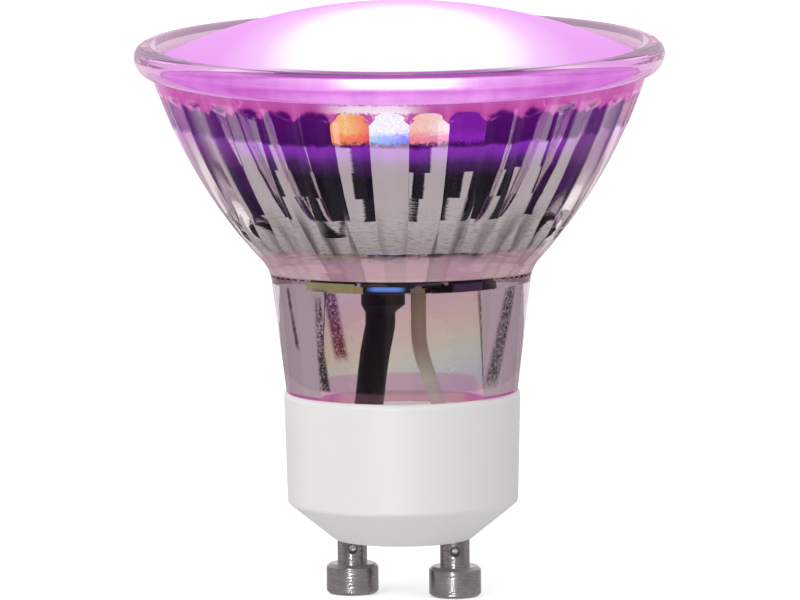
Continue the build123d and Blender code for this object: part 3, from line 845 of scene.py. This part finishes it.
# Materials of the other pieces
def opal_lens():
    """Opal lens, white in the middle of its front and violet towards its sides and back."""
    material, tree = new_material("opal_lens")
    point, px, py, pz = tree.place()
    across, along = tree.turned(px, py)
    off_axis = tree.math("ABSOLUTE", across)
    wide = tree.math("DIVIDE", across, SPOT_HALF_WIDTH)
    behind = tree.math("MAXIMUM", tree.math("ADD", along, SPOT_FRONT), 0.0)
    deep = tree.math("DIVIDE", behind, SPOT_DEPTH)
    dome = tree.ramp(
        tree.math("DIVIDE", tree.reach(wide, deep), SPOT_SPAN),
        [
            (0.30, WHITE),
            (0.40, (1.0, 0.88, 1.0)),
            (0.50, (0.88, 0.52, 0.94)),
            (0.66, (0.78, 0.32, 0.83)),
            (1.0, (0.72, 0.26, 0.78)),
        ],
    )
    # Painted shade: a dark violet line along the dome's edge at the front
    edge_shade_line = tree.product(tree.zone(pz, (46.3, 46.45), (46.68, 46.80)), tree.fall(along, -19.5, -15.0))
    dome = tree.mix(edge_shade_line, dome, (0.42, 0.10, 0.45))

    # Side of the lens, which the rim's glass shows as a bright band with a painted white highlight in its
    # middle
    side = tree.ramp(
        tree.math("DIVIDE", tree.math("SUBTRACT", pz, LENS_FOOT), LENS_SIDE),
        [
            (0.0, (0.72, 0.34, 0.76)),
            (0.45, (0.76, 0.40, 0.80)),
            (0.60, (0.66, 0.24, 0.68)),
            (0.66, (0.80, 0.45, 0.84)),
            (0.92, (0.80, 0.40, 0.85)),
        ],
    )
    gain = tree.mix(tree.smooth(off_axis, 6.0, 17.0), (1.70, 2.60, 1.80), (1.22, 1.18, 1.25))
    cloud = tree.noise(tree.stretch(point, (1.0, 1.0, 4.0)), 0.5, 3.0, 0.6)
    gain = tree.mix(tree.smooth(cloud, 0.35, 0.65), gain, (0.88, 0.80, 0.88), "MULTIPLY")
    side = tree.mix(1.0, side, gain, "MULTIPLY")
    white_highlight = tree.product(tree.smooth(pz, 45.48, 45.58), tree.fall(off_axis, 2.5, 7.5))
    side = tree.mix(white_highlight, side, (2.4, 3.6, 2.5))
    opal = tree.principled(
        Base_Color=(0.04, 0.03, 0.04),
        Roughness=0.5,
        Specular_IOR_Level=0.1,
        Emission_Color=tree.mix(tree.smooth(pz, 45.7, 45.95), side, dome),
        Emission_Strength=1.0,
    )
    tree.finish(opal)
    return material


def plastic(name, color, roughness, grain, depth, mottle, **extra):
    """Moulded plastic with a faint mottle in its colour and a fine grain."""
    material, tree = new_material(name)
    point, _, _, _ = tree.place()
    darker = tuple(part * (1 - mottle) for part in color)
    surface = tree.principled(
        Base_Color=tree.mix(tree.noise(point, 0.25, 3.0), darker, color),
        Roughness=roughness,
        Normal=tree.bump(tree.noise(point, grain), depth),
        **extra,
    )
    tree.finish(surface)
    return material


def diode(name, color):
    """Lit diode in its own colour."""
    return plastic(
        name,
        color,
        roughness=0.3,
        grain=5.0,
        depth=0.004,
        mottle=0.1,
        Emission_Color=color,
        Emission_Strength=1.0,
    )


def metal(name, color, roughness, depth):
    """Drawn metal with fine marks round its axis, darker in places at random."""
    material, tree = new_material(name)
    point, _, _, _ = tree.place()
    marks = tree.noise(tree.stretch(point, (1.0, 1.0, 3.0)), 1.8, 3.0)
    darker = tuple(part * RANDOM_DARKENING for part in color)
    surface = tree.principled(
        Base_Color=tree.mix(tree.noise(point, 0.9), darker, color),
        Metallic=1.0,
        Roughness=roughness,
        Normal=tree.bump(marks, depth),
    )
    tree.finish(surface)
    return material


def neck_material(name, roughness, paint):
    """Material of a piece in the neck, with its colour and faint painted glow from paint(tree, across,
    height).
    """
    material, tree = new_material(name)
    point, px, py, pz = tree.place()
    across, _ = tree.turned(px, py)
    color, glow = paint(tree, across, pz)
    surface = tree.principled(
        Base_Color=color,
        Roughness=roughness,
        Specular_IOR_Level=0.2,
        Normal=tree.bump(tree.noise(point, 6.0), 0.01),
        Emission_Color=glow,
        Emission_Strength=1.0,
    )
    tree.finish(surface)
    return material


def paint_sleeve(tree, across, height):
    """Black, with the painted blue highlight of a diode on its top end."""
    off = tree.math("ABSOLUTE", tree.math("SUBTRACT", across, -1.3))
    blue_highlight = tree.product(tree.zone(height, (24.8, 25.2), (25.6, 25.9)), tree.fall(off, 0.9, 2.0))
    return (0.003, 0.003, 0.004), tree.mix(blue_highlight, BLACK, (0.16, 0.36, 1.0))


def paint_lead(tree, across, height):
    """Beige, with painted light: lighter low down and more yellow towards its top."""
    share = tree.math("DIVIDE", tree.math("SUBTRACT", height, LEAD_FOOT), LEAD_LENGTH)
    color = tree.ramp(
        share,
        [
            (0.0, (0.50, 0.46, 0.42)),
            (0.25, (0.84, 0.79, 0.70)),
            (0.5, (0.62, 0.50, 0.52)),
            (0.85, (0.54, 0.58, 0.36)),
        ],
    )
    glow = tree.ramp(
        share,
        [
            (0.0, (0.05, 0.045, 0.04)),
            (0.25, (0.13, 0.115, 0.095)),
            (0.5, (0.075, 0.052, 0.055)),
            (0.85, (0.06, 0.065, 0.025)),
        ],
    )
    return color, glow


def paint_laminate(tree, across, height):
    """Yellow-green bare edge on the left, lit with a painted glow, brown on the right."""
    right_side = tree.smooth(across, -3.4, -2.6)
    color = tree.mix(right_side, (0.56, 0.54, 0.24), (0.05, 0.035, 0.03))
    return color, tree.mix(right_side, (0.25, 0.24, 0.10), (0.004, 0.003, 0.003))


def paint_choke(tree, across, height):
    """Black beside the lead, dark violet with a faint painted violet glow further right."""
    right_side = tree.smooth(across, 4.3, 4.7)
    color = tree.mix(right_side, (0.006, 0.004, 0.004), (0.10, 0.055, 0.14))
    return color, tree.mix(right_side, BLACK, (0.035, 0.02, 0.055))


nickel = metal("brushed_nickel", (0.38, 0.35, 0.35), roughness=0.24, depth=0.035)
tinned = metal("tinned_wire", (0.70, 0.70, 0.70), roughness=0.3, depth=0.01)
lead_beige = neck_material("lead_insulation", 0.35, paint_lead)
chip_black = plastic(
    "chip_moulding", (0.02, 0.02, 0.022), roughness=0.45, grain=10.0, depth=0.006, mottle=0.2
)
chip_ceramic = plastic(
    "chip_ceramic", (0.45, 0.36, 0.26), roughness=0.5, grain=10.0, depth=0.006, mottle=0.15
)
# The silicone glows violet with painted light from the diodes
silicone = plastic(
    "silicone",
    (0.30, 0.12, 0.30),
    roughness=0.4,
    grain=3.0,
    depth=0.02,
    mottle=0.08,
    Emission_Color=(0.80, 0.25, 0.80),
    Emission_Strength=0.8,
)
# The plug glows with painted pale light
plug_painted_glow = plastic(
    "plug_painted_glow",
    (0.20, 0.18, 0.18),
    roughness=0.5,
    grain=6.0,
    depth=0.01,
    mottle=0.2,
    Emission_Color=(0.72, 0.80, 0.74),
    Emission_Strength=0.72,
)
for node_name, material in {
    "front_lens": opal_lens(),
    "base_shell": plastic(
        "cap_white", (0.86, 0.845, 0.85), roughness=0.42, grain=9.0, depth=0.004, mottle=0.03
    ),
    "contact_pin_left": nickel,
    "contact_pin_right": nickel,
    "fuse_sleeve": neck_material("shrink_sleeve", 0.5, paint_sleeve),
    "neutral_lead": lead_beige,
    "led_leads": lead_beige,
    "neutral_conductor": tinned,
    "live_lead": tinned,
    "capacitor_leads": tinned,
    "solder_joints": tinned,
    "driver_board": neck_material("board_laminate", 0.5, paint_laminate),
    "choke": neck_material("choke_moulding", 0.5, paint_choke),
    "bridge_rectifier": chip_black,
    "driver_ic": chip_black,
    "chip_resistors": chip_black,
    "chip_capacitors": chip_ceramic,
    "fuse_resistor": chip_ceramic,
    "electrolytic_capacitor": plastic(
        "capacitor_film", (0.02, 0.025, 0.07), roughness=0.3, grain=4.0, depth=0.006, mottle=0.2
    ),
    "lens_adhesive": silicone,
    "board_adhesive": silicone,
    "led_board": plastic(
        "board_mask", (0.78, 0.78, 0.78), roughness=0.4, grain=10.0, depth=0.004, mottle=0.04
    ),
    "base_cement": plastic("cement", (0.66, 0.64, 0.60), roughness=0.8, grain=4.0, depth=0.05, mottle=0.2),
    "neck_plug": plug_painted_glow,
    "red_leds": diode("red_diode", (1.0, 0.15, 0.06)),
    "blue_leds": diode("blue_diode", (0.06, 0.10, 1.0)),
    "white_leds": diode("white_diode", (1.0, 0.9, 0.75)),
}.items():
    dress(node_name, material)


# Stage: floor, cards that only mirrors and glass show, world and lamps
FLOOR_REACH = 6.0
FLOOR_COLOR = (0.9, 0.9, 0.9)
FLOOR_LIFT = 0.50
WORLD_FILL = 0.60


def polygon_object(name, outline, material):
    """Flat stage object with one face."""
    mesh = bpy.data.meshes.new(name)
    mesh.from_pydata(outline, [], [tuple(range(len(outline)))])
    piece = bpy.data.objects.new(name, mesh)
    scene.collection.objects.link(piece)
    piece.data.materials.append(material)
    return piece


material, tree = new_material("pale_floor")
pale = tree.shader("ShaderNodeBsdfDiffuse", Color=FLOOR_COLOR)
tree.finish(tree.add_shaders(pale, tree.emission(WHITE, tree.math("MULTIPLY", tree.shown(), FLOOR_LIFT))))
floor_corners = ((-1, -1), (1, -1), (1, 1), (-1, 1))
floor_outline = [(x * FLOOR_REACH, y * FLOOR_REACH, FLOOR_Z * MM) for x, y in floor_corners]
polygon_object("floor", floor_outline, material)

# Outlines of the cards, in millimetres across the lamp's front and back from it
CARD_OUTER = 130.0
CARD_BACK = -6.0
CARD_FRONT = -110.0
FRONT_REACH = 450.0
BAY_REACH = 140.0
CARD_LIFT = 0.2
BAY_LIFT = 0.1
BAY_SHADE = 0.55
VIOLET_REACH = 100.0
LEFT_CARD = (
    (-24.0, -8.0),
    (-20.0, -17.0),
    (-15.0, -22.0),
    (-14.5, -32.0),
    (-19.0, -38.0),
    (-19.0, CARD_FRONT),
    (-CARD_OUTER, CARD_FRONT),
    (-CARD_OUTER, CARD_BACK),
)
RIGHT_CARD = (
    (31.0, -8.0),
    (22.0, -16.0),
    (20.0, -28.0),
    (23.0, -33.0),
    (15.0, -35.5),
    (15.0, -24.0),
    (10.0, -24.0),
    (10.0, CARD_FRONT),
    (CARD_OUTER, CARD_FRONT),
    (CARD_OUTER, CARD_BACK),
)
FRONT_CARD = (
    (-FRONT_REACH, CARD_FRONT),
    (-FRONT_REACH, -FRONT_REACH),
    (FRONT_REACH, -FRONT_REACH),
    (FRONT_REACH, CARD_FRONT),
)
BACK_LEFT_CARD = ((-48.0, 26.0), (-46.0, 44.0), (-58.0, 80.0), (-CARD_OUTER, 110.0), (-CARD_OUTER, 34.0))
BACK_RIGHT_CARD = tuple((-across, along) for across, along in BACK_LEFT_CARD)
BAY_CARD = (
    (-BAY_REACH, BAY_REACH),
    (-BAY_REACH, -BAY_REACH),
    (BAY_REACH, -BAY_REACH),
    (BAY_REACH, BAY_REACH),
)

dark_material, tree = new_material("dark_card")
_, px, py, _ = tree.place()
# Painted violet light further out on the dark cards, seen only in mirrors and glass
violet = tree.ramp(
    tree.math("DIVIDE", tree.reach(px, py), VIOLET_REACH),
    [
        (0.42, (0.010, 0.008, 0.012)),
        (0.48, (0.020, 0.008, 0.036)),
        (0.62, (0.020, 0.008, 0.036)),
        (0.85, (0.070, 0.012, 0.13)),
    ],
)
tree.finish(tree.emission(violet))
bay_material, tree = new_material("grey_card")
tree.finish(tree.emission(WHITE, BAY_SHADE))
front_turn = Matrix.Rotation(math.radians(FRONT_AZIMUTH), 3, "Z")
for name, outline, lift, material in (
    ("dark_card_left", LEFT_CARD, CARD_LIFT, dark_material),
    ("dark_card_right", RIGHT_CARD, CARD_LIFT, dark_material),
    ("dark_card_front", FRONT_CARD, CARD_LIFT, dark_material),
    ("dark_card_back_left", BACK_LEFT_CARD, CARD_LIFT, dark_material),
    ("dark_card_back_right", BACK_RIGHT_CARD, CARD_LIFT, dark_material),
    ("grey_card_bay", BAY_CARD, BAY_LIFT, bay_material),
):
    corners = [front_turn @ Vector((across, along, FLOOR_Z + lift)) * MM for across, along in outline]
    card = polygon_object(name, corners, material)
    card.visible_camera = False
    card.visible_diffuse = False
    card.visible_shadow = False

world = bpy.data.worlds.new("studio")
scene.world = world
tree = Tree(world, "ShaderNodeOutputWorld")
fill = tree.shader("ShaderNodeBackground", Color=WHITE, Strength=WORLD_FILL)
white = tree.shader("ShaderNodeBackground", Color=WHITE, Strength=1.0)
tree.finish(tree.mix_shaders(tree.shown(), fill, white))


def direction(azimuth, elevation):
    """Unit vector at an azimuth, counted from the camera's, and an elevation."""
    around = math.radians(VIEW_AZIMUTH - 90 + azimuth)
    up = math.radians(elevation)
    return Vector((math.cos(up) * math.cos(around), math.cos(up) * math.sin(around), math.sin(up)))


def softbox(name, azimuth, elevation, distance, size, power, mirrored=False):
    """Square area lamp that looks at the lamp's middle; a mirrored one is only seen in gloss."""
    light = bpy.data.lights.new(name, "AREA")
    light.shape = "SQUARE"
    light.size = size
    light.energy = power
    lamp = bpy.data.objects.new(name, light)
    way = direction(azimuth, elevation)
    lamp.location = Vector((0, 0, AIM_Z * MM)) + way * distance
    lamp.rotation_euler = way.to_track_quat("Z", "Y").to_euler()
    lamp.visible_diffuse = not mirrored
    lamp.visible_glossy = mirrored
    lamp.visible_transmission = False
    scene.collection.objects.link(lamp)


softbox("key_softbox", azimuth=-35, elevation=40, distance=1.5, size=0.9, power=9.0)
softbox("fill_softbox", azimuth=40, elevation=30, distance=1.6, size=0.9, power=1.0)
softbox("low_glint_lamp", azimuth=-11, elevation=3, distance=0.5, size=0.08, power=0.8, mirrored=True)

# Camera
camera_data = bpy.data.cameras.new("camera")
camera_data.sensor_fit = "HORIZONTAL"
camera_data.sensor_width = SENSOR_WIDTH
camera_data.lens = SENSOR_WIDTH * PIXELS_PER_MM * VIEW_DISTANCE / MM / IMAGE_WIDTH
camera_data.clip_start = 0.1
camera_data.clip_end = 50.0
camera = bpy.data.objects.new("camera", camera_data)
scene.collection.objects.link(camera)
back = direction(0, VIEW_ELEVATION)
right = direction(90, 0)
up = back.cross(right)
axes = Matrix((right, up, back)).transposed().to_4x4() @ Matrix.Rotation(math.radians(VIEW_ROLL), 4, "Z")
axes.translation = Vector((0, 0, AIM_Z * MM)) - right * AIM_RIGHT * MM + back * VIEW_DISTANCE
camera.matrix_world = axes
scene.camera = camera
